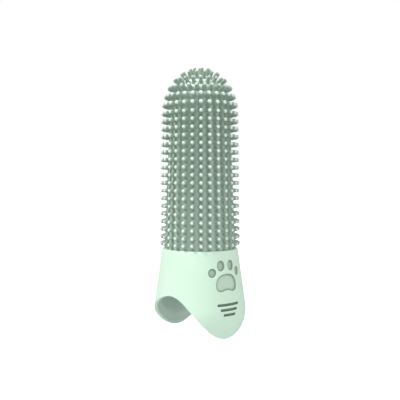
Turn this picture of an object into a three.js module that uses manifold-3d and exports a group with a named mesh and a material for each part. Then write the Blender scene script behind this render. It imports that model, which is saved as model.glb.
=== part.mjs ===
// Pet finger toothbrush: a closed-ended silicone thimble, covered with radial bristles, on a flared cuff.
// Millimetres, +Z towards the crown. The origin is on the axis at the mouth of the finger pocket, level
// with the lowest point of the cuff's rim. The lobe that carries the paw print faces -Y. Angles around the
// axis are counted from that lobe, positive towards +X.

import * as THREE from "three";
import { mergeVertices } from "three/addons/utils/BufferGeometryUtils.js";
import Module from "manifold-3d";

const wasm = await Module();
wasm.setup();

// Cuff: a skirt that flares down to a certain depth, then curls back in towards its front and back lobe,
// with an arch on each side between them.
const CUFF_TOP = 23.9;
const CUFF_TOP_RADIUS = 10.84;
const CUFF_FLARE = 0.139;
const CUFF_CURL_DEPTH = 15.7;
const CUFF_CURL = 0.035;
const CUFF_WALL = 1.0;
const CUFF_SHOULDER = 19.9;
const CUFF_EDGE_ROUND = 0.35;
const CUFF_SEGMENTS = 56;
const SKIRT_STEPS = 6;

// The rim's height above the lobes' tips is a mean height plus a few waves around the cuff. The
// front lobe is a narrow tongue, and the back lobe is wide.
const RIM_MEAN = 5.74;
const RIM_WAVES = [[1, 0.46], [2, -5.7], [3, -0.73], [4, -0.16], [5, 0.29], [6, 0.14]];
const RIM_BAND = 1.5;

// Bristled jacket: a slowly tapering tube, closed by a half-ellipsoid dome. It stands turned a few degrees
// against the cuff.
const DOME_BASE = 62.3;
const DOME_HEIGHT = 10.7;
const SKIN_RADIUS = 8.51;
const SKIN_TAPER = 0.042;
const JACKET_WALL = 0.8;
const DOME_STEPS = 6;
const JACKET_TURN = -4.8;

// Bristles: straight rows on the tube, then rings that follow the dome. One more stands on the apex. A
// ring's phase is how far its first bristle is turned, as a share of that ring's own spacing.
const BRISTLE_COLUMNS = 28;
const BRISTLE_ROWS = 18;
const FIRST_ROW = 25.08;
const ROW_PITCH = 2.168;
const TIP_RADIUS = 11.03;
const TIP_TAPER = 0.0143;
const CROWN_COUNTS = [28, 28, 25, 20, 14, 8];
const CROWN_PHASES = [0.5, 0.5, 0.25, 0.25, 0.25, 0.5];
const CROWN_SPREAD = 1.15;
const APEX_BRISTLE = 2.2;
const BRISTLE_ROOT_WIDTH = 1.25;
const BRISTLE_SPIKE = 9;
const BRISTLE_ANCHOR = 0.5;

// Inner sleeve: the lining of the finger pocket.
const SLEEVE_WALL = 0.85;
const SLEEVE_SEGMENTS = 28;
const SLEEVE_RIM_SETBACK = 0.5;
const GAP = 0.38;

// Recessed marks on the front lobe: a paw of one pad and four toes, and three grip bars below it.
const RECESS_DEPTH = 0.5;
const PAD_HEIGHT = 15.3;
const PAD_HALF_WIDTH = 3.55;
const PAD_HALF_HEIGHT = 2.35;
const TOES = [
  { angle: 8.6, height: 19.9, halfWidth: 1.15, halfHeight: 1.4 },
  { angle: 21.9, height: 18.1, halfWidth: 1.1, halfHeight: 1.2 },
];
const BARS_HEIGHT = 8.1;
const BAR_PITCH = 1.35;
const BAR_THICKNESS = 0.6;
const BAR_LENGTHS = [4.2, 5.8, 7.4];
const CURVE_SEGMENTS = 6;

const SAGE_BODY = "#9db3a2";
const SAGE_LINING = "#8fa596";
const MINT = "#d8f2e0";

const radians = THREE.MathUtils.degToRad;

function cuffRadius(height) {
  const depth = CUFF_TOP - height;
  const curled = Math.max(depth - CUFF_CURL_DEPTH, 0);
  return CUFF_TOP_RADIUS + CUFF_FLARE * depth - CUFF_CURL * curled ** 2;
}

function skinRadius(height) {
  return SKIN_RADIUS + SKIN_TAPER * (DOME_BASE - height);
}

function tipRadius(height) {
  return TIP_RADIUS + TIP_TAPER * (DOME_BASE - height);
}

function rimHeight(angle) {
  return RIM_WAVES.reduce((height, [waves, size]) => height + size * Math.cos(waves * angle), RIM_MEAN);
}

// Merges shared vertices and drops the triangles that a lathe leaves with no area on its axis.
function closeUp(geometry) {
  geometry.deleteAttribute("normal");
  geometry.deleteAttribute("uv");
  const merged = mergeVertices(geometry, 1e-4);
  const corners = merged.index.array;
  const kept = [];
  for (let i = 0; i < corners.length; i += 3) {
    const [a, b, c] = corners.slice(i, i + 3);
    if (a !== b && b !== c && c !== a) {
      kept.push(a, b, c);
    }
  }
  merged.setIndex(kept);
  return merged;
}

function toSolid(geometry) {
  const closed = closeUp(geometry);
  const vertProperties = closed.attributes.position.array;
  const triVerts = new Uint32Array(closed.index.array);
  return new wasm.Manifold(new wasm.Mesh({ numProp: 3, vertProperties, triVerts }));
}

function toGeometry(solid) {
  const { vertProperties, triVerts } = solid.getMesh();
  const geometry = new THREE.BufferGeometry();
  geometry.setAttribute("position", new THREE.BufferAttribute(vertProperties, 3));
  geometry.setIndex(new THREE.BufferAttribute(triVerts, 1));
  return geometry;
}

// Turns a profile of [radius, height] points about +Z. The first section line lies at angle 0, on -Y.
function turned(profile, segments) {
  const points = profile.map(([radius, height]) => new THREE.Vector2(radius, height));
  return new THREE.LatheGeometry(points, segments).rotateX(Math.PI / 2);
}

// A quarter circle from one direction to another, in degrees from the outward direction.
function roundedEdge(radius, height, size, from, to) {
  const steps = 3;
  return Array.from({ length: steps + 1 }, (_, i) => {
    const turn = radians(from + (to - from) * i / steps);
    return [radius + size * Math.cos(turn), height + size * Math.sin(turn)];
  });
}

// A quarter of an ellipse that stands on the dome's base, from its side up to the apex on the axis.
function quarterEllipse(radius, height) {
  return Array.from({ length: DOME_STEPS + 1 }, (_, i) => {
    const turn = Math.PI / 2 * i / DOME_STEPS;
    return [i === DOME_STEPS ? 0 : radius * Math.cos(turn), DOME_BASE + height * Math.sin(turn)];
  });
}

// The dome's section at a distance inside the skin.
function domeSection(inset) {
  return quarterEllipse(SKIN_RADIUS - inset, DOME_HEIGHT - inset);
}

// Points up the skirt's section at a distance inside the cuff's surface.
function skirtSection(inset) {
  return Array.from({ length: SKIRT_STEPS + 1 }, (_, i) => {
    const height = THREE.MathUtils.lerp(RIM_BAND, CUFF_SHOULDER, i / SKIRT_STEPS);
    return [cuffRadius(height) - inset, height];
  });
}

// Lifts the lower end of a skirt so that its edge follows the rim, sliding it along the skirt's
// section.
function followRim(geometry, setback) {
  const position = geometry.attributes.position;
  for (let i = 0; i < position.count; i += 1) {
    const x = position.getX(i);
    const y = position.getY(i);
    const z = position.getZ(i);
    const share = THREE.MathUtils.clamp((CUFF_SHOULDER - z) / (CUFF_SHOULDER - RIM_BAND), 0, 1);
    const lift = share * (rimHeight(Math.atan2(x, -y)) + setback);
    const radius = Math.hypot(x, y);
    const spread = cuffRadius(z + lift) - cuffRadius(z);
    const scale = radius > 0 ? (radius + spread) / radius : 1;
    position.setXYZ(i, x * scale, y * scale, z + lift);
  }
  return geometry;
}

// One square spike that stands in the skin at a point, along a direction. The jacket's tip envelope trims
// it to a bristle.
function spike(root, direction) {
  const height = BRISTLE_SPIKE + BRISTLE_ANCHOR;
  const halfDiagonal = BRISTLE_ROOT_WIDTH / 2 * Math.SQRT2 * height / BRISTLE_SPIKE;
  const geometry = new THREE.ConeGeometry(halfDiagonal, height, 4).rotateY(Math.PI / 4);
  geometry.rotateX(Math.PI / 2).translate(0, 0, height / 2 - BRISTLE_ANCHOR);
  const side = new THREE.Vector3(-direction.y, direction.x, 0);
  if (side.length() === 0) {
    side.set(1, 0, 0);
  }
  side.normalize();
  const up = new THREE.Vector3().crossVectors(direction, side);
  geometry.applyMatrix4(new THREE.Matrix4().makeBasis(side, up, direction).setPosition(root));
  return toSolid(geometry);
}

// A ring of equal spikes: where they stand, how steeply they point, and at which angle the first one is.
function spikeRing({ radius, height, tilt, count, start }) {
  return Array.from({ length: count }, (_, i) => {
    const angle = start + 2 * Math.PI * i / count;
    const outward = new THREE.Vector3(Math.sin(angle), -Math.cos(angle), 0);
    const root = outward.clone().multiplyScalar(radius).setZ(height);
    const direction = outward.multiplyScalar(Math.cos(tilt)).setZ(Math.sin(tilt));
    return spike(root, direction);
  });
}

// The straight rows hold every second bristle of the real field, staggered from row to row, so that the
// solid stays light. Each column stands on the middle of one flat of the skin.
function straightRings() {
  const column = 2 * Math.PI / BRISTLE_COLUMNS;
  return Array.from({ length: BRISTLE_ROWS }, (_, row) => {
    const height = FIRST_ROW + ROW_PITCH * row;
    const start = column * (row % 2 + 0.5);
    return { radius: skinRadius(height), height, tilt: 0, count: BRISTLE_COLUMNS / 2, start };
  });
}

// The dome's rings stand square to the ellipse, and stand further apart towards the apex.
function crownRings() {
  const rings = CROWN_COUNTS.map((count, i) => {
    const share = (i + 1) / (CROWN_COUNTS.length + 1);
    const turn = Math.PI / 2 * share ** CROWN_SPREAD;
    const radius = SKIN_RADIUS * Math.cos(turn);
    const height = DOME_BASE + DOME_HEIGHT * Math.sin(turn);
    const tilt = Math.atan2(Math.sin(turn) / DOME_HEIGHT, Math.cos(turn) / SKIN_RADIUS);
    const start = 2 * Math.PI * CROWN_PHASES[i] / count;
    return { radius, height, tilt, count, start };
  });
  const apex = { radius: 0, height: DOME_BASE + DOME_HEIGHT, tilt: Math.PI / 2, count: 1, start: 0 };
  return [...rings, apex];
}

// The surface that every bristle's tip lies on. Its flats face the bristle columns.
function tipEnvelope() {
  const flats = Math.cos(Math.PI / BRISTLE_COLUMNS);
  const crown = quarterEllipse(tipRadius(DOME_BASE) / flats, DOME_HEIGHT + APEX_BRISTLE);
  return toSolid(turned([[0, CUFF_TOP], [tipRadius(CUFF_TOP) / flats, CUFF_TOP], ...crown], BRISTLE_COLUMNS));
}

function makeJacket() {
  const bottom = CUFF_TOP + GAP;
  const lowerRadius = skinRadius(bottom);
  const profile = [
    ...domeSection(JACKET_WALL).reverse(),
    [lowerRadius - JACKET_WALL, bottom],
    [lowerRadius, bottom],
    ...domeSection(0),
  ];
  const shell = toSolid(turned(profile, BRISTLE_COLUMNS));
  const spikes = [...straightRings(), ...crownRings()].flatMap(spikeRing);
  return spikes.reduce((jacket, piece) => jacket.add(piece), shell).intersect(tipEnvelope());
}

function makeSleeve() {
  const inset = JACKET_WALL + GAP;
  const skirt = CUFF_WALL + GAP;
  const outer = [
    [cuffRadius(0) - skirt, 0],
    ...skirtSection(skirt),
    [skinRadius(CUFF_TOP) - inset, CUFF_TOP],
    ...domeSection(inset),
  ];
  const inner = [
    ...domeSection(inset + SLEEVE_WALL).reverse(),
    [skinRadius(CUFF_TOP) - inset - SLEEVE_WALL, CUFF_TOP],
    ...skirtSection(skirt + SLEEVE_WALL).reverse(),
    [cuffRadius(0) - skirt - SLEEVE_WALL, 0],
  ];
  return toSolid(followRim(turned([...outer, ...inner, outer[0]], SLEEVE_SEGMENTS), SLEEVE_RIM_SETBACK));
}

function cuffShell() {
  const half = CUFF_WALL / 2;
  const topRound = CUFF_TOP_RADIUS - CUFF_EDGE_ROUND;
  const topHole = skinRadius(CUFF_TOP) - JACKET_WALL;
  const rimRound = roundedEdge(cuffRadius(half) - half, half, half, -180, 0);
  const profile = [
    ...rimRound,
    ...skirtSection(0),
    ...roundedEdge(topRound, CUFF_TOP - CUFF_EDGE_ROUND, CUFF_EDGE_ROUND, 0, 90),
    [topHole, CUFF_TOP],
    ...skirtSection(CUFF_WALL).reverse(),
    rimRound[0],
  ];
  return toSolid(followRim(turned(profile, CUFF_SEGMENTS), 0));
}

// The cutter of one mark. It reaches only a little way below the cuff's surface, whatever the outline.
function recess(outline, angle, height) {
  const reach = 2 * CUFF_TOP_RADIUS;
  const prism = new THREE.ExtrudeGeometry(outline, {
    depth: reach,
    bevelEnabled: false,
    curveSegments: CURVE_SEGMENTS,
  });
  prism.rotateX(Math.PI / 2).rotateZ(radians(angle)).translate(0, 0, height);
  const core = [
    [0, 0],
    [cuffRadius(0) - RECESS_DEPTH, 0],
    ...skirtSection(RECESS_DEPTH),
    [cuffRadius(CUFF_TOP) - RECESS_DEPTH, CUFF_TOP],
    [0, CUFF_TOP],
  ];
  return toSolid(prism).subtract(toSolid(turned(core, CUFF_SEGMENTS)));
}

function ellipse(halfWidth, halfHeight) {
  return new THREE.Shape().absellipse(0, 0, halfWidth, halfHeight, 0, 2 * Math.PI);
}

// A round-shouldered pad with two soft heels and a shallow notch between them.
function padOutline() {
  const w = PAD_HALF_WIDTH;
  const h = PAD_HALF_HEIGHT;
  const heel = 0.55 * w;
  const notch = -0.74 * h;
  return new THREE.Shape()
    .moveTo(0, h)
    .bezierCurveTo(0.76 * w, h, w, 0.35 * h, w, -0.35 * h)
    .bezierCurveTo(w, -0.8 * h, 0.85 * w, -h, heel, -h)
    .bezierCurveTo(0.35 * w, -h, 0.25 * w, notch, 0, notch)
    .bezierCurveTo(-0.25 * w, notch, -0.35 * w, -h, -heel, -h)
    .bezierCurveTo(-0.85 * w, -h, -w, -0.8 * h, -w, -0.35 * h)
    .bezierCurveTo(-w, 0.35 * h, -0.76 * w, h, 0, h);
}

function barOutline(length) {
  const end = BAR_THICKNESS / 2;
  const middle = length / 2 - end;
  return new THREE.Shape()
    .absarc(middle, 0, end, -Math.PI / 2, Math.PI / 2)
    .absarc(-middle, 0, end, Math.PI / 2, 3 * Math.PI / 2)
    .closePath();
}

function makeCuff() {
  const pad = recess(padOutline(), 0, PAD_HEIGHT);
  const toes = TOES.flatMap(({ angle, height, halfWidth, halfHeight }) => [angle, -angle]
    .map((side) => recess(ellipse(halfWidth, halfHeight), side, height)));
  const bars = BAR_LENGTHS.map((length, i) => {
    const height = BARS_HEIGHT + BAR_PITCH * (i - (BAR_LENGTHS.length - 1) / 2);
    return recess(barOutline(length), 0, height);
  });
  return [pad, ...toes, ...bars].reduce((cuff, cut) => cuff.subtract(cut), cuffShell());
}

function addPiece(group, name, solid, color, roughness) {
  const material = new THREE.MeshStandardMaterial({ color, roughness, metalness: 0, flatShading: true });
  const mesh = new THREE.Mesh(toGeometry(solid), material);
  mesh.name = name;
  group.add(mesh);
  return mesh;
}

const brush = new THREE.Group();
addPiece(brush, "inner_sleeve", makeSleeve(), SAGE_LINING, 0.6);
addPiece(brush, "bristle_jacket", makeJacket(), SAGE_BODY, 0.55).rotation.z = radians(JACKET_TURN);
addPiece(brush, "cuff", makeCuff(), MINT, 0.5);

export default brush;
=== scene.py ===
"""Looks of the pet finger toothbrush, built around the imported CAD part.

Shapes are worked out in millimetres in the CAD frame: the axis is +Z, the lobe with the paw print faces -Y,
and angles around the axis are counted from that lobe, positive towards +X.
"""

import math

import bpy
import numpy as np
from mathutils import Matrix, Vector


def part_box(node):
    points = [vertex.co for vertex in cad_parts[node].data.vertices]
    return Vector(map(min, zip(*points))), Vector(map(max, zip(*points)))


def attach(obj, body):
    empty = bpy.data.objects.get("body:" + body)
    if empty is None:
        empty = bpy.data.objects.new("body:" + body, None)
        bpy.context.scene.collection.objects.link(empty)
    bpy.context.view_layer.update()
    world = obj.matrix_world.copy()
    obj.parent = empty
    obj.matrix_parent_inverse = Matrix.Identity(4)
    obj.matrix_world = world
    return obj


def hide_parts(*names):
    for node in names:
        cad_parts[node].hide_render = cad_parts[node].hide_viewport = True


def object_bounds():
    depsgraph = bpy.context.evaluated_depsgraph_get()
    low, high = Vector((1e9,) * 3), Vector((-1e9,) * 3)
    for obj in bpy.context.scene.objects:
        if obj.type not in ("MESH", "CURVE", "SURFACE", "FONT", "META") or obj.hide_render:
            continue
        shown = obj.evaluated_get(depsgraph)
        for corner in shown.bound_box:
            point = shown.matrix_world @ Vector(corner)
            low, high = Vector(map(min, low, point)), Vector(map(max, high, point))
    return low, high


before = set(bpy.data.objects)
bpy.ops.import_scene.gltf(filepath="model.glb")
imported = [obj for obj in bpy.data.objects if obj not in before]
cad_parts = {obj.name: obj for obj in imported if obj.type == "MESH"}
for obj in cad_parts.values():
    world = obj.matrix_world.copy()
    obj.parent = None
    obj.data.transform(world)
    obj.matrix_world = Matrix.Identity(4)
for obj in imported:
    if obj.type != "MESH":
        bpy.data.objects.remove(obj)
cad_low, cad_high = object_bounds()

MM = 0.001
SEED = 7

# Heights that the frame gives, in millimetres.
CUFF_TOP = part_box("cuff")[1].z / MM
CROWN_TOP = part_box("bristle_jacket")[1].z / MM

# Cuff: it flares down to a certain depth, then curls back in towards the lobes. The rim is a sum of waves.
# Below the rim band the whole section follows the rim, and above the shoulder none of it does.
CUFF_TOP_RADIUS = 10.84
CUFF_FLARE = 0.139
CUFF_CURL_DEPTH = 15.7
CUFF_CURL = 0.035
CUFF_WALL = 1.0
CUFF_SHOULDER = 19.9
CUFF_EDGE_ROUND = 0.4
RIM_MEAN = 5.6
RIM_WAVES = ((1, 0.46), (2, -5.82), (3, -0.73), (4, -0.16), (5, 0.29), (6, 0.14))
RIM_BAND = 1.5

# The cuff's mesh is fine across the marks, in height and in angle, and coarser elsewhere. The counts are of
# points along its rounded rim, the outer wall below and above the marks, its top edge and its inner wall.
FINE_BOTTOM = 5.6
FINE_TOP = 21.7
FINE_STEP = 0.075
FINE_HALF_ANGLE = math.radians(32)
FINE_ANGLES = 200
COARSE_ANGLES = 150
RIM_STEPS = 14
BAND_STEPS = 5
LOWER_STEPS = 12
UPPER_STEPS = 6
TOP_EDGE_STEPS = 8
INNER_STEPS = 20

# Jacket: its skin starts a little below the cuff's top edge, and is closed by a half-ellipsoid dome.
DOME_BASE = 62.3
DOME_HEIGHT = 10.7
SKIN_RADIUS = 8.51
SKIN_TAPER = 0.042
JACKET_WALL = 0.8
JACKET_TURN = math.radians(-4.8)
SKIN_TUCK = 0.3
SKIN_STEPS = 60
SKIN_STEPS_PER_COLUMN = 12
SKIN_DOME_STEPS = 40
APEX_HOLE = 0.02

# Bristle field: straight rows, of which the lowest stands slightly high, then rings on the dome. A ring's
# phase is how far its first bristle is turned, as a share of the ring's spacing, and its girth is how thick
# its bristles are next to those of a straight row.
BRISTLE_COLUMNS = 28
BRISTLE_ROWS = 18
FIRST_ROW = 25.08
LOWEST_ROW_RISE = 0.2
ROW_PITCH = 2.168
TIP_RADIUS = 11.03
TIP_TAPER = 0.0143
CROWN_COUNTS = (28, 28, 25, 20, 14, 8, 1)
CROWN_SPREAD = 1.15
CROWN_PHASES = (0.5, 0.5, 0.25, 0.25, 0.25, 0.5, 0.5)
CROWN_GIRTHS = (1.12, 1.12, 1.05, 0.86, 0.88, 0.9, 0.9)
APEX_BRISTLE = CROWN_TOP - DOME_BASE - DOME_HEIGHT
BRISTLE_LEAN = 0.006
# How wide the painted shade along each bristle column is, in millimetres on the skin.
COLUMN_SHADE_WIDTH = 0.55

# One bristle: a foot sunk in the skin, whose flare fades out, a tapered shaft and a rounded end.
ROOT_RADIUS = 0.62
TIP_END_RADIUS = 0.5
BRISTLE_SIDES = 14
FOOT_SINK = 0.05
FOOT_STATIONS = (-0.3, -FOOT_SINK, 0.06, 0.16, 0.3, 0.5)
FLARE_SIZE = 0.34
FLARE_FADE = 0.14
SHAFT_STEPS = 5
END_ROUND = 0.42
END_FULLNESS = 0.8
END_TURNS = np.radians([12, 28, 45, 62, 78])

# Sleeve lining. Its wall thins out towards the rim, and it lies a hair inside the walls it is bonded to.
SLEEVE_WALL = 0.85
SLEEVE_EDGE_WALL = 0.12
SLEEVE_THINNING = 4.0
SLEEVE_SETBACK = 0.2
LINING_SHADE_DEPTH = 9.0
LINING_STEPS = 24
LINING_DOME_STEPS = 20
LINING_ANGLES = 192
BOND = 0.02

# Recessed marks on the front lobe.
RECESS_DEPTH = 0.5
RECESS_EDGE = 0.2
PAD_HEIGHT = 15.3
PAD_HALF = (3.55, 2.35)
PAD_NOTCH = 0.84
TOES = ((8.6, 19.9, 1.15, 1.4), (21.9, 18.1, 1.1, 1.2))
BARS_HEIGHT = 8.1
BAR_PITCH = 1.35
BAR_THICKNESS = 0.6
BAR_LENGTHS = (4.2, 5.8, 7.4)

# Distances to a mark are worked out as far as this margin around it. Beyond it they count as far.
MARK_MARGIN = 0.6
FAR = 9.0

# Painted shade in the recessed marks: how dark the wall of a mark is painted, and how light its floor is
# painted again. The darkness fades out across the floor, and reaches further across it where it is over 1.
CREVICE_FADE = 0.25
FLOOR_FADE = 0.6
PAD_PAINTED_SHADE = (0.75, 1.0)
TOE_PAINTED_SHADE = (0.85, 0.3)
BAR_PAINTED_SHADE = (1.5, 0.0)


def rim_height(angle):
    return RIM_MEAN + sum(size * np.cos(waves * angle) for waves, size in RIM_WAVES)


def cuff_radius(height):
    depth = CUFF_TOP - height
    curled = np.maximum(depth - CUFF_CURL_DEPTH, 0)
    return CUFF_TOP_RADIUS + CUFF_FLARE * depth - CUFF_CURL * curled ** 2


def skin_radius(height):
    return SKIN_RADIUS + SKIN_TAPER * (DOME_BASE - height)


def tip_radius(height):
    return TIP_RADIUS + TIP_TAPER * (DOME_BASE - height)


# ---------------------------------------------------------------- meshes

def mesh_piece(name, points, faces, attributes=None):
    """A smooth mesh piece from points in millimetres. attributes maps a name to one value per point."""
    mesh = bpy.data.meshes.new(name)
    mesh.from_pydata((np.asarray(points).reshape(-1, 3) * MM).tolist(), [], faces)
    mesh.validate()
    mesh.shade_smooth()
    for key, values in (attributes or {}).items():
        layer = mesh.attributes.new(key, "FLOAT", "POINT")
        layer.data.foreach_set("value", np.asarray(values, np.float32).ravel())
    piece = bpy.data.objects.new(name, mesh)
    bpy.context.scene.collection.objects.link(piece)
    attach(piece, "root")
    return piece


def ring_faces(columns, rows):
    """Quads of a closed section turned about the axis, with the section's points in order for each angle."""
    faces = []
    for i in range(columns):
        near = i * rows
        far = (i + 1) % columns * rows
        for j in range(rows):
            above = (j + 1) % rows
            faces.append((near + j, far + j, far + above, near + above))
    return faces


def arc(radius, height, size, start, stop, steps):
    """Profile points on a circle arc, in degrees from the outward direction."""
    turn = np.radians(np.linspace(start, stop, steps + 1))
    return np.column_stack([radius + size * np.cos(turn), height + size * np.sin(turn)])


def quarter_ellipse(radius, height, steps):
    """The section of a dome on the dome's base, from its side to just short of the axis."""
    turn = np.linspace(0, math.pi / 2, steps + 1)[:-1]
    return np.column_stack([radius * np.cos(turn), DOME_BASE + height * np.sin(turn)])


def tube_section(heights, inset, dome_steps):
    """The section of the tube and its dome at some depth under the skin, from its bottom to the axis."""
    return np.vstack([
        np.column_stack([skin_radius(heights) - inset, heights]),
        quarter_ellipse(SKIN_RADIUS - inset, DOME_HEIGHT - inset, dome_steps),
        [[APEX_HOLE, DOME_BASE + DOME_HEIGHT - inset]],
    ])


def follow_rim(profile, angles, setback):
    """Turns a [radius, height] profile about the axis and lifts its lower end along the rim."""
    radius = profile[:, 0][None, :]
    height = profile[:, 1][None, :]
    share = np.clip((CUFF_SHOULDER - height) / (CUFF_SHOULDER - RIM_BAND), 0, 1)
    lift = share * (rim_height(angles)[:, None] + setback)
    return radius + cuff_radius(height + lift) - cuff_radius(height), height + lift


def placed(radius, height, angles):
    """Points of a grid of radii and heights, one row of the grid for each angle."""
    turn = angles[:, None]
    return np.stack([radius * np.sin(turn), -radius * np.cos(turn), height], axis=-1)


# ---------------------------------------------------------------- recessed marks

def bezier(start, first, second, end, steps=14):
    """Points along a cubic curve, without its last one."""
    t = np.linspace(0, 1, steps + 1)[:-1, None]
    parts = (np.array(p, float) for p in (start, first, second, end))
    weights = ((1 - t) ** 3, 3 * t * (1 - t) ** 2, 3 * t ** 2 * (1 - t), t ** 3)
    return sum(w * p for w, p in zip(weights, parts))


def pad_outline():
    """A round-shouldered pad with two soft heels and a shallow notch between them."""
    w, h = PAD_HALF
    side = 0.35 * h
    heel = 0.55 * w
    notch = -PAD_NOTCH * h
    right = np.vstack([
        bezier((0, h), (0.76 * w, h), (w, side), (w, -side)),
        bezier((w, -side), (w, -0.8 * h), (0.85 * w, -h), (heel, -h)),
        bezier((heel, -h), (0.35 * w, -h), (0.25 * w, notch), (0, notch)),
    ])
    left = np.vstack([[(0, notch)], right[:0:-1] * (-1, 1)])
    return np.vstack([right, left])


def ellipse_outline(half_width, half_height, steps=64):
    turn = np.linspace(0, 2 * math.pi, steps, endpoint=False)
    return np.column_stack([half_width * np.cos(turn), half_height * np.sin(turn)])


def bar_outline(length):
    end = BAR_THICKNESS / 2
    right = arc(length / 2 - end, 0, end, -90, 90, 10)
    return np.vstack([right, -right])


def signed_distance(x, y, outline):
    """Distance of each point to a closed outline, negative inside it."""
    best = np.full(x.shape, np.inf)
    inside = np.zeros(x.shape, bool)
    for (ax, ay), (bx, by) in zip(outline, np.roll(outline, -1, axis=0)):
        ex = bx - ax
        ey = by - ay
        span = ex * ex + ey * ey
        t = np.clip(((x - ax) * ex + (y - ay) * ey) / span, 0, 1)
        best = np.minimum(best, (x - ax - t * ex) ** 2 + (y - ay - t * ey) ** 2)
        crosses = (ay > y) != (by > y)
        if ey != 0:
            inside ^= crosses & (x < ax + ex * (y - ay) / ey)
    return np.where(inside, -1, 1) * np.sqrt(best)


def mark_shapes():
    """Every recessed mark: its outline, its angle from the lobe's middle, its height and its painted shade.
    """
    yield pad_outline(), 0.0, PAD_HEIGHT, PAD_PAINTED_SHADE
    for angle, height, half_width, half_height in TOES:
        for side in (-1, 1):
            yield ellipse_outline(half_width, half_height), side * math.radians(angle), height, TOE_PAINTED_SHADE
    for i, length in enumerate(BAR_LENGTHS):
        height = BARS_HEIGHT + BAR_PITCH * (i - (len(BAR_LENGTHS) - 1) / 2)
        yield bar_outline(length), 0.0, height, BAR_PAINTED_SHADE


def marks_distance(points):
    """For each point of the cuff's outer surface, its signed distance in millimetres to the nearest mark,
    and that mark's painted shade."""
    x, y, z = np.moveaxis(points, -1, 0)
    nearest = np.full(x.shape, FAR)
    mark_shades = np.zeros(x.shape + (2,))
    for outline, turn, middle, look in mark_shapes():
        across = x * math.cos(turn) + y * math.sin(turn)
        up = z - middle
        outward = x * math.sin(turn) - y * math.cos(turn)
        reach = np.abs(outline).max(axis=0) + MARK_MARGIN
        close = (np.abs(across) < reach[0]) & (np.abs(up) < reach[1]) & (outward > 0)
        distance = signed_distance(across[close], up[close], outline)
        closer = distance < nearest[close]
        nearest[close] = np.where(closer, distance, nearest[close])
        mark_shades[close] = np.where(closer[:, None], look, mark_shades[close])
    return nearest, mark_shades


def smooth_step(x):
    x = np.clip(x, 0, 1)
    return x * x * (3 - 2 * x)


# ---------------------------------------------------------------- pieces

def cuff_angles():
    """Angles around the cuff: fine across the marks, coarser elsewhere."""
    fine = np.linspace(-FINE_HALF_ANGLE, FINE_HALF_ANGLE, FINE_ANGLES)
    coarse = np.linspace(FINE_HALF_ANGLE, 2 * math.pi - FINE_HALF_ANGLE, COARSE_ANGLES)[1:-1]
    return np.concatenate([fine, coarse])


def cuff_profile():
    """The cuff's closed section before it follows the rim, and which of its points are on the outer wall."""
    half = CUFF_WALL / 2
    edge = CUFF_EDGE_ROUND
    heights = np.concatenate([
        np.linspace(half, RIM_BAND, BAND_STEPS)[1:-1],
        np.linspace(RIM_BAND, FINE_BOTTOM, LOWER_STEPS)[:-1],
        np.arange(FINE_BOTTOM, FINE_TOP, FINE_STEP),
        np.linspace(FINE_TOP, CUFF_TOP - edge, UPPER_STEPS)[1:-1],
    ])
    outer = np.column_stack([cuff_radius(heights), heights])
    rim = arc(cuff_radius(half) - half, half, half, -180, 0, RIM_STEPS)
    top = arc(CUFF_TOP_RADIUS - edge, CUFF_TOP - edge, edge, 0, 90, TOP_EDGE_STEPS)
    hole = skin_radius(CUFF_TOP) - JACKET_WALL
    ledge = np.array([[(CUFF_TOP_RADIUS - edge + hole) / 2, CUFF_TOP], [hole, CUFF_TOP]])
    shoulder = np.linspace(CUFF_SHOULDER, RIM_BAND, INNER_STEPS)
    inner = np.column_stack([cuff_radius(shoulder) - CUFF_WALL, shoulder])
    return np.vstack([rim, outer, top, ledge, inner]), slice(len(rim), len(rim) + len(outer))


def make_cuff():
    """The cuff, with its marks pressed into the outer wall towards the axis."""
    profile, wall = cuff_profile()
    angles = cuff_angles()
    radius, height = follow_rim(profile, angles, 0)
    smooth = placed(radius, height, angles)
    distance = np.full(radius.shape, FAR)
    mark_shades = np.zeros(radius.shape + (2,))
    distance[:, wall], mark_shades[:, wall] = marks_distance(smooth[:, wall])
    sunk = smooth_step(0.5 - distance / RECESS_EDGE)
    points = placed(radius - RECESS_DEPTH * sunk, height, angles)
    # Painted shade for the recesses: dark along each mark's wall, fading across its floor, which is painted
    # lighter again.
    inside = np.maximum(-distance, 0)
    crevice_shade = mark_shades[..., 0] * sunk * np.exp(-inside / CREVICE_FADE)
    floor = mark_shades[..., 1] * sunk * smooth_step(inside / FLOOR_FADE)
    piece = mesh_piece("cuff_shell", points, ring_faces(len(angles), len(profile)),
                       {"sunk": sunk, "crevice_shade": crevice_shade, "floor": floor})
    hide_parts("cuff")
    return piece


def make_sleeve():
    """The lining: bonded to the cuff's and the jacket's inner walls, with a thin lower edge."""
    skirt = CUFF_WALL - BOND
    inset = JACKET_WALL - BOND
    shoulder = np.linspace(0, CUFF_SHOULDER, LINING_STEPS)
    tube = np.linspace(CUFF_TOP, DOME_BASE, LINING_STEPS)[:-1]
    thinned = SLEEVE_EDGE_WALL + (SLEEVE_WALL - SLEEVE_EDGE_WALL) * smooth_step(shoulder / SLEEVE_THINNING)
    outer = np.vstack([
        np.column_stack([cuff_radius(shoulder) - skirt, shoulder]),
        tube_section(tube, inset, LINING_DOME_STEPS),
    ])
    inner = np.vstack([
        np.column_stack([cuff_radius(shoulder) - skirt - thinned, shoulder]),
        tube_section(tube, inset + SLEEVE_WALL, LINING_DOME_STEPS),
    ])
    profile = np.vstack([outer, inner[::-1]])
    angles = np.linspace(0, 2 * math.pi, LINING_ANGLES, endpoint=False)
    radius, height = follow_rim(profile, angles, SLEEVE_SETBACK)
    points = placed(radius, height, angles)
    # Painted shade on the lining, deepening further up inside the pocket.
    pocket_shade = smooth_step((height - rim_height(angles)[:, None]) / LINING_SHADE_DEPTH)
    piece = mesh_piece("pocket_lining", points, ring_faces(len(angles), len(profile)),
                       {"pocket_shade": pocket_shade})
    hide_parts("inner_sleeve")
    return piece


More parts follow.
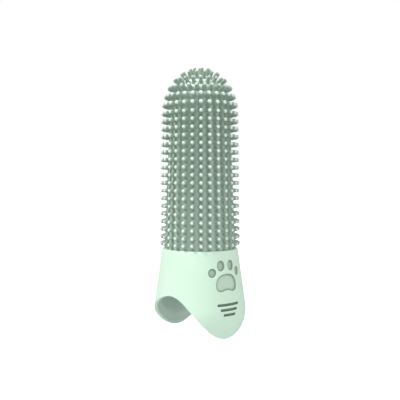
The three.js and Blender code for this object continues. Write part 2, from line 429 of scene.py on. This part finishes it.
def make_skin():
    """The jacket's skin, without its bristles, from inside the cuff's top edge up over the dome."""
    tube = np.linspace(CUFF_TOP - SKIN_TUCK, DOME_BASE, SKIN_STEPS)[:-1]
    outer = tube_section(tube, 0, SKIN_DOME_STEPS)
    inner = tube_section(tube, JACKET_WALL, SKIN_DOME_STEPS)
    profile = np.vstack([outer, inner[::-1]])
    angles = np.linspace(0, 2 * math.pi, SKIN_STEPS_PER_COLUMN * BRISTLE_COLUMNS, endpoint=False)
    radius = np.tile(profile[:, 0], (len(angles), 1))
    height = np.tile(profile[:, 1], (len(angles), 1))
    points = placed(radius, height, angles)
    # Painted light: the skin is painted lighter towards the crown, which faces the light from above.
    crown = smooth_step((height - DOME_BASE) / DOME_HEIGHT)
    # How close each point lies to a column of bristles: painted shade along the columns, where the bristles
    # keep the light off the skin between them.
    column = (angles - JACKET_TURN) * BRISTLE_COLUMNS / (2 * math.pi)
    offset = (column - np.floor(column) - 0.5)[:, None] * 2 * math.pi / BRISTLE_COLUMNS * radius
    column_shade = np.exp(-(offset / COLUMN_SHADE_WIDTH) ** 2) * (1 - smooth_step((height - DOME_BASE) / ROW_PITCH))
    piece = mesh_piece("jacket_skin", points, ring_faces(len(angles), len(profile)),
                       {"column_shade": column_shade, "crown": crown})
    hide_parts("bristle_jacket")
    return piece


def bristle_profile(length, girth):
    """Radius and distance along a bristle: a flared foot sunk in the skin, a taper and a rounded end."""
    shaft = np.linspace(FOOT_STATIONS[-1], length - END_ROUND, SHAFT_STEPS)[1:]
    along = np.concatenate([FOOT_STATIONS, shaft])
    taper = ROOT_RADIUS + (TIP_END_RADIUS - ROOT_RADIUS) * np.clip(along / length, 0, 1)
    flare = FLARE_SIZE * np.exp(-np.clip(along + FOOT_SINK, 0, None) / FLARE_FADE)
    body = np.column_stack([girth * taper + flare, along])
    end = np.column_stack([
        girth * TIP_END_RADIUS * np.cos(END_TURNS) ** END_FULLNESS,
        length - END_ROUND + END_ROUND * np.sin(END_TURNS),
    ])
    return np.vstack([body, end, [[0, length]]])


def add_bristle(points, faces, tipness, root, direction, profile):
    """Adds one closed bristle to a ring's lists. tipness is 0 at its foot and 1 at its end."""
    length = profile[-1, 1]
    z_axis = Vector(direction).normalized()
    side = Vector((-z_axis.y, z_axis.x, 0))
    side = side.normalized() if side.length > 1e-6 else Vector((1, 0, 0))
    basis = np.array([side, z_axis.cross(side), z_axis])
    turn = np.linspace(0, 2 * math.pi, BRISTLE_SIDES, endpoint=False)
    rings = [
        np.column_stack([r * np.cos(turn), r * np.sin(turn), np.full(BRISTLE_SIDES, t)])
        for r, t in profile[:-1]
    ]
    local = np.vstack([[[0, 0, profile[0, 1]]], *rings, [[0, 0, length]]])
    base = len(points)
    points.extend((local @ basis + np.array(root)).tolist())
    tipness.extend(np.clip(local[:, 2] / length, 0, 1).tolist())
    first = base + 1
    last = base + len(local) - 1
    for j in range(BRISTLE_SIDES):
        k = (j + 1) % BRISTLE_SIDES
        faces.append((base, first + k, first + j))
        for i in range(len(rings) - 1):
            a = first + i * BRISTLE_SIDES
            b = a + BRISTLE_SIDES
            faces.append((a + j, a + k, b + k, b + j))
        top = last - BRISTLE_SIDES
        faces.append((top + j, top + k, last))


def make_ring(name, place, profile, count, phase, rng):
    """A ring of equal bristles. place holds the radius and height of their roots, and their tilt."""
    radius, height, tilt = place
    points = []
    faces = []
    tipness = []
    for i in range(count):
        angle = JACKET_TURN + 2 * math.pi * (i + phase) / count
        lean = rng.normal(0, BRISTLE_LEAN, 2)
        across = angle + lean[0]
        up = tilt + lean[1]
        root = (radius * math.sin(angle), -radius * math.cos(angle), height)
        direction = (math.cos(up) * math.sin(across), -math.cos(up) * math.cos(across), math.sin(up))
        add_bristle(points, faces, tipness, root, direction, profile)
    # How far up the dome each point lies: it sets the painted shade on the crown's shafts and dims the
    # painted light on their ends.
    heights = np.array(points)[:, 2]
    crown = smooth_step((heights - DOME_BASE) / DOME_HEIGHT)
    return mesh_piece(name, points, faces, {"tipness": tipness, "crown": crown})


def make_bristles():
    """The whole bristle field, one piece for each row and ring."""
    rng = np.random.default_rng(SEED)
    pieces = []
    for row in range(BRISTLE_ROWS):
        height = FIRST_ROW + ROW_PITCH * row + (LOWEST_ROW_RISE if row == 0 else 0)
        radius = skin_radius(height)
        profile = bristle_profile(tip_radius(height) - radius, 1.0)
        place = (radius, height, 0.0)
        pieces.append(make_ring(f"bristle_row_{row + 1:02d}", place, profile, BRISTLE_COLUMNS, 0.5, rng))
    side_length = TIP_RADIUS - SKIN_RADIUS
    for i, (count, phase, girth) in enumerate(zip(CROWN_COUNTS, CROWN_PHASES, CROWN_GIRTHS)):
        share = (i + 1) / len(CROWN_COUNTS)
        turn = math.pi / 2 * share ** CROWN_SPREAD
        tilt = math.atan2(math.sin(turn) / DOME_HEIGHT, math.cos(turn) / SKIN_RADIUS)
        place = (SKIN_RADIUS * math.cos(turn), DOME_BASE + DOME_HEIGHT * math.sin(turn), tilt)
        profile = bristle_profile(side_length + (APEX_BRISTLE - side_length) * share, girth)
        pieces.append(make_ring(f"crown_ring_{i + 1}", place, profile, count, phase, rng))
    return pieces


# ---------------------------------------------------------------- materials

# Base colours. Where there is a pair, the surface drifts softly from one to the other.
CUFF_TONES = ((0.62, 0.83, 0.672), (0.65, 0.86, 0.702))
# Painted shade in the recessed marks: their walls, their floors and the darkest line along their walls.
RECESS_WALL_SHADE = (0.38, 0.50, 0.42)
RECESS_FLOOR_SHADE = (0.53, 0.695, 0.565)
CREVICE_SHADE = (0.12, 0.18, 0.14)
# Sage of the jacket's skin and bristles: the mint darkened, painted shade for the self-shadowing among the
# bristles on top of the real shadows that they cast. The skin is painted lighter towards the crown, for the
# light from above, and darker along the bristle columns.
SKIN_TONE = (0.425, 0.545, 0.46)
SKIN_CROWN_LIGHT = (0.74, 0.88, 0.79)
SKIN_COLUMN_SHADE = (0.24, 0.31, 0.26)
# Painted light on the bristle ends, weaker on the crown, where the shafts are also painted darker.
SHAFT_TONE = (0.365, 0.47, 0.395)
SHAFT_CROWN_SHADE = (0.34, 0.43, 0.365)
TIP_LIGHT = (0.69, 0.86, 0.75)
TIP_CROWN_LIGHT = (0.52, 0.66, 0.56)
# The lining's sage is the mint darkened: painted shade inside the pocket, deeper further up.
LINING_TONES = ((0.51, 0.665, 0.56), (0.54, 0.695, 0.59))
LINING_DEEP_SHADE = (0.395, 0.53, 0.445)

# Noise scales, in cells per metre: colour variation, uneven gloss and moulded grain.
TONE_CELLS = 90
GLOSS_CELLS = 420
GRAIN_CELLS = 5200
NOISE_DETAIL = 3.0

# Silicone: how far light passes under the surface, in metres and by colour, how much the roughness varies,
# and how strong and deep the moulded grain is.
SUBSURFACE_RADIUS = (1.0, 1.25, 1.05)
SUBSURFACE_SCALE = 0.0006
SILICONE_IOR = 1.41
GLOSS_SPREAD = (-0.04, 0.05)
GRAIN_STRENGTH = 0.08
GRAIN_DEPTH = 0.00004


def new_material(name):
    material = bpy.data.materials.new(name)
    material.use_nodes = True
    nodes = material.node_tree.nodes
    return material, nodes, material.node_tree.links, nodes["Principled BSDF"]


def attribute_node(nodes, name):
    node = nodes.new("ShaderNodeAttribute")
    node.attribute_name = name
    return node.outputs["Fac"]


def mixed(nodes, links, factor, first, second):
    """A mix of two colours by an output. Each colour is an output or a tuple of three numbers."""
    node = nodes.new("ShaderNodeMix")
    node.data_type = "RGBA"
    links.new(factor, node.inputs["Factor"])
    for name, colour in (("A", first), ("B", second)):
        socket = next(s for s in node.inputs if s.name == name and s.type == "RGBA")
        if isinstance(colour, bpy.types.NodeSocket):
            links.new(colour, socket)
        else:
            socket.default_value = (*colour, 1)
    return next(s for s in node.outputs if s.type == "RGBA")


def scaled_noise(nodes, links, scale):
    """Noise in object space, with scale in cells per metre."""
    where = nodes.new("ShaderNodeTexCoord")
    noise = nodes.new("ShaderNodeTexNoise")
    noise.inputs["Scale"].default_value = scale
    noise.inputs["Detail"].default_value = NOISE_DETAIL
    links.new(where.outputs["Object"], noise.inputs["Vector"])
    return noise.outputs["Fac"]


def ramped(nodes, links, value, low, high):
    """An output stretched so that it is 0 up to low and 1 from high."""
    node = nodes.new("ShaderNodeMapRange")
    node.inputs["From Min"].default_value = low
    node.inputs["From Max"].default_value = high
    links.new(value, node.inputs["Value"])
    return node.outputs["Result"]


def varied_tone(nodes, links, tones):
    """A soft drift between two tones across the surface."""
    share = ramped(nodes, links, scaled_noise(nodes, links, TONE_CELLS), low=0.3, high=0.7)
    return mixed(nodes, links, share, *tones)


def silicone_finish(nodes, links, shader, roughness, subsurface):
    """Soft matt sheen, light passing just under the surface, and a fine moulded grain."""
    shader.inputs["Subsurface Weight"].default_value = subsurface
    shader.inputs["Subsurface Radius"].default_value = SUBSURFACE_RADIUS
    shader.inputs["Subsurface Scale"].default_value = SUBSURFACE_SCALE
    shader.inputs["IOR"].default_value = SILICONE_IOR
    rough = nodes.new("ShaderNodeMapRange")
    rough.inputs["To Min"].default_value = roughness + GLOSS_SPREAD[0]
    rough.inputs["To Max"].default_value = roughness + GLOSS_SPREAD[1]
    links.new(scaled_noise(nodes, links, GLOSS_CELLS), rough.inputs["Value"])
    links.new(rough.outputs["Result"], shader.inputs["Roughness"])
    bump = nodes.new("ShaderNodeBump")
    bump.inputs["Strength"].default_value = GRAIN_STRENGTH
    bump.inputs["Distance"].default_value = GRAIN_DEPTH
    links.new(scaled_noise(nodes, links, GRAIN_CELLS), bump.inputs["Height"])
    links.new(bump.outputs["Normal"], shader.inputs["Normal"])


def cuff_material():
    """Mint, darker where a mark's wall and floor lie in shade."""
    material, nodes, links, shader = new_material("mint_silicone")
    tone = varied_tone(nodes, links, CUFF_TONES)
    # Painted shade: the recesses are darkened as far as they are sunk, lightened again across their floors,
    # and darkest along their walls.
    wall = mixed(nodes, links, attribute_node(nodes, "sunk"), tone, RECESS_WALL_SHADE)
    floor = mixed(nodes, links, attribute_node(nodes, "floor"), wall, RECESS_FLOOR_SHADE)
    colour = mixed(nodes, links, attribute_node(nodes, "crevice_shade"), floor, CREVICE_SHADE)
    links.new(colour, shader.inputs["Base Color"])
    silicone_finish(nodes, links, shader, roughness=0.42, subsurface=0.15)
    return material


def skin_material():
    """Sage, with painted light towards the crown and painted shade along the feet of the bristle columns."""
    material, nodes, links, shader = new_material("sage_skin")
    crown = ramped(nodes, links, attribute_node(nodes, "crown"), low=0.4, high=0.8)
    tone = mixed(nodes, links, crown, SKIN_TONE, SKIN_CROWN_LIGHT)
    colour = mixed(nodes, links, attribute_node(nodes, "column_shade"), tone, SKIN_COLUMN_SHADE)
    links.new(colour, shader.inputs["Base Color"])
    silicone_finish(nodes, links, shader, roughness=0.45, subsurface=0.12)
    return material


def bristle_material():
    """Sage, with painted light on the end of every bristle, weaker on the crown, where the shafts carry
    painted shade.
    """
    material, nodes, links, shader = new_material("sage_silicone")
    crown = attribute_node(nodes, "crown")
    tip_light = ramped(nodes, links, attribute_node(nodes, "tipness"), low=0.81, high=0.96)
    shaft = mixed(nodes, links, crown, SHAFT_TONE, SHAFT_CROWN_SHADE)
    end = mixed(nodes, links, ramped(nodes, links, crown, low=0.4, high=0.65), TIP_LIGHT, TIP_CROWN_LIGHT)
    links.new(mixed(nodes, links, tip_light, shaft, end), shader.inputs["Base Color"])
    silicone_finish(nodes, links, shader, roughness=0.45, subsurface=0.12)
    return material


def lining_material():
    """Sage, with painted shade that deepens up inside the pocket."""
    material, nodes, links, shader = new_material("lining_silicone")
    tone = varied_tone(nodes, links, LINING_TONES)
    colour = mixed(nodes, links, attribute_node(nodes, "pocket_shade"), tone, LINING_DEEP_SHADE)
    links.new(colour, shader.inputs["Base Color"])
    silicone_finish(nodes, links, shader, roughness=0.5, subsurface=0.1)
    return material


# ---------------------------------------------------------------- camera, light, floor

# Camera: azimuth and downward pitch in degrees, distance and height in millimetres.
VIEW_AZIMUTH = -38.5
VIEW_DISTANCE = 171.8
VIEW_HEIGHT = 43.4
VIEW_PITCH = 1.96
LENS = 54.0
SENSOR = 36.0
NEAR_CLIP = 0.01
FAR_CLIP = 20.0

# Softboxes: name, azimuth and elevation in degrees, side in metres and power in watts.
LIGHTS = (
    ("key", -108, 55, 0.25, 7.5),
    ("front", -20, 50, 0.5, 2.7),
    ("bounce", -8, -35, 0.9, 2.0),
)
LIGHT_DISTANCE = 1.0
AMBIENT = 0.64
WHITE = (1, 1, 1, 1)

# Floor, in metres: well below the brush, which is held up by the finger that it is worn on.
FLOOR_HALF = 6.0
FLOOR_HEIGHT = -0.06
FLOOR_WHITE = (0.9, 0.9, 0.9, 1)
FLOOR_ROUGHNESS = 0.9
FLOOR_GLOW = 0.9


def make_camera():
    data = bpy.data.cameras.new("camera")
    data.lens = LENS
    data.sensor_width = SENSOR
    data.clip_start = NEAR_CLIP
    data.clip_end = FAR_CLIP
    camera = bpy.data.objects.new("camera", data)
    bpy.context.scene.collection.objects.link(camera)
    turn = math.radians(VIEW_AZIMUTH)
    camera.location = Vector((
        math.sin(turn) * VIEW_DISTANCE,
        -math.cos(turn) * VIEW_DISTANCE,
        VIEW_HEIGHT,
    )) * MM
    camera.rotation_euler = (math.radians(90 - VIEW_PITCH), 0, turn)
    bpy.context.scene.camera = camera


def area_light(name, azimuth, elevation, size, power):
    """A square softbox that faces the middle of the brush."""
    data = bpy.data.lights.new(name, "AREA")
    data.shape = "SQUARE"
    data.size = size
    data.energy = power
    light = bpy.data.objects.new(name, data)
    bpy.context.scene.collection.objects.link(light)
    turn = math.radians(azimuth)
    rise = math.radians(elevation)
    back = Vector((math.sin(turn) * math.cos(rise), -math.cos(turn) * math.cos(rise), math.sin(rise)))
    middle = Vector((0, 0, (cad_low.z + cad_high.z) / 2))
    light.location = middle + back * LIGHT_DISTANCE
    light.rotation_mode = "QUATERNION"
    light.rotation_quaternion = (-back).to_track_quat("-Z", "Y")


def make_world():
    """White for the camera, and a softer even white for the light."""
    world = bpy.data.worlds.new("studio")
    world.use_nodes = True
    bpy.context.scene.world = world
    nodes = world.node_tree.nodes
    links = world.node_tree.links
    plain = nodes["Background"]
    plain.inputs["Color"].default_value = WHITE
    plain.inputs["Strength"].default_value = AMBIENT
    white = nodes.new("ShaderNodeBackground")
    white.inputs["Color"].default_value = WHITE
    white.inputs["Strength"].default_value = 1.0
    seen = nodes.new("ShaderNodeLightPath")
    mix = nodes.new("ShaderNodeMixShader")
    links.new(seen.outputs["Is Camera Ray"], mix.inputs["Fac"])
    links.new(plain.outputs[0], mix.inputs[1])
    links.new(white.outputs[0], mix.inputs[2])
    links.new(mix.outputs[0], nodes["World Output"].inputs["Surface"])


def make_floor():
    """A plain white floor that glows a little. It throws nothing back at the brush."""
    mesh = bpy.data.meshes.new("floor")
    signs = ((-1, -1), (1, -1), (1, 1), (-1, 1))
    corners = [(FLOOR_HALF * x, FLOOR_HALF * y, FLOOR_HEIGHT) for x, y in signs]
    mesh.from_pydata(corners, [], [(0, 1, 2, 3)])
    floor = bpy.data.objects.new("floor", mesh)
    bpy.context.scene.collection.objects.link(floor)
    material, _, _, shader = new_material("floor_white")
    shader.inputs["Base Color"].default_value = FLOOR_WHITE
    shader.inputs["Roughness"].default_value = FLOOR_ROUGHNESS
    shader.inputs["Emission Color"].default_value = WHITE
    shader.inputs["Emission Strength"].default_value = FLOOR_GLOW
    mesh.materials.append(material)
    floor.visible_diffuse = False
    floor.visible_glossy = False
    floor.visible_shadow = False


def set_colour():
    settings = bpy.context.scene.view_settings
    settings.view_transform = "Standard"
    settings.look = "None"
    settings.exposure = 0.0
    settings.gamma = 1.0


make_camera()
make_world()
for light in LIGHTS:
    area_light(*light)
make_floor()
set_colour()

cuff = make_cuff()
cuff.data.materials.append(cuff_material())
lining = make_sleeve()
lining.data.materials.append(lining_material())
skin = make_skin()
skin.data.materials.append(skin_material())
sage = bristle_material()
for ring in make_bristles():
    ring.data.materials.append(sage)
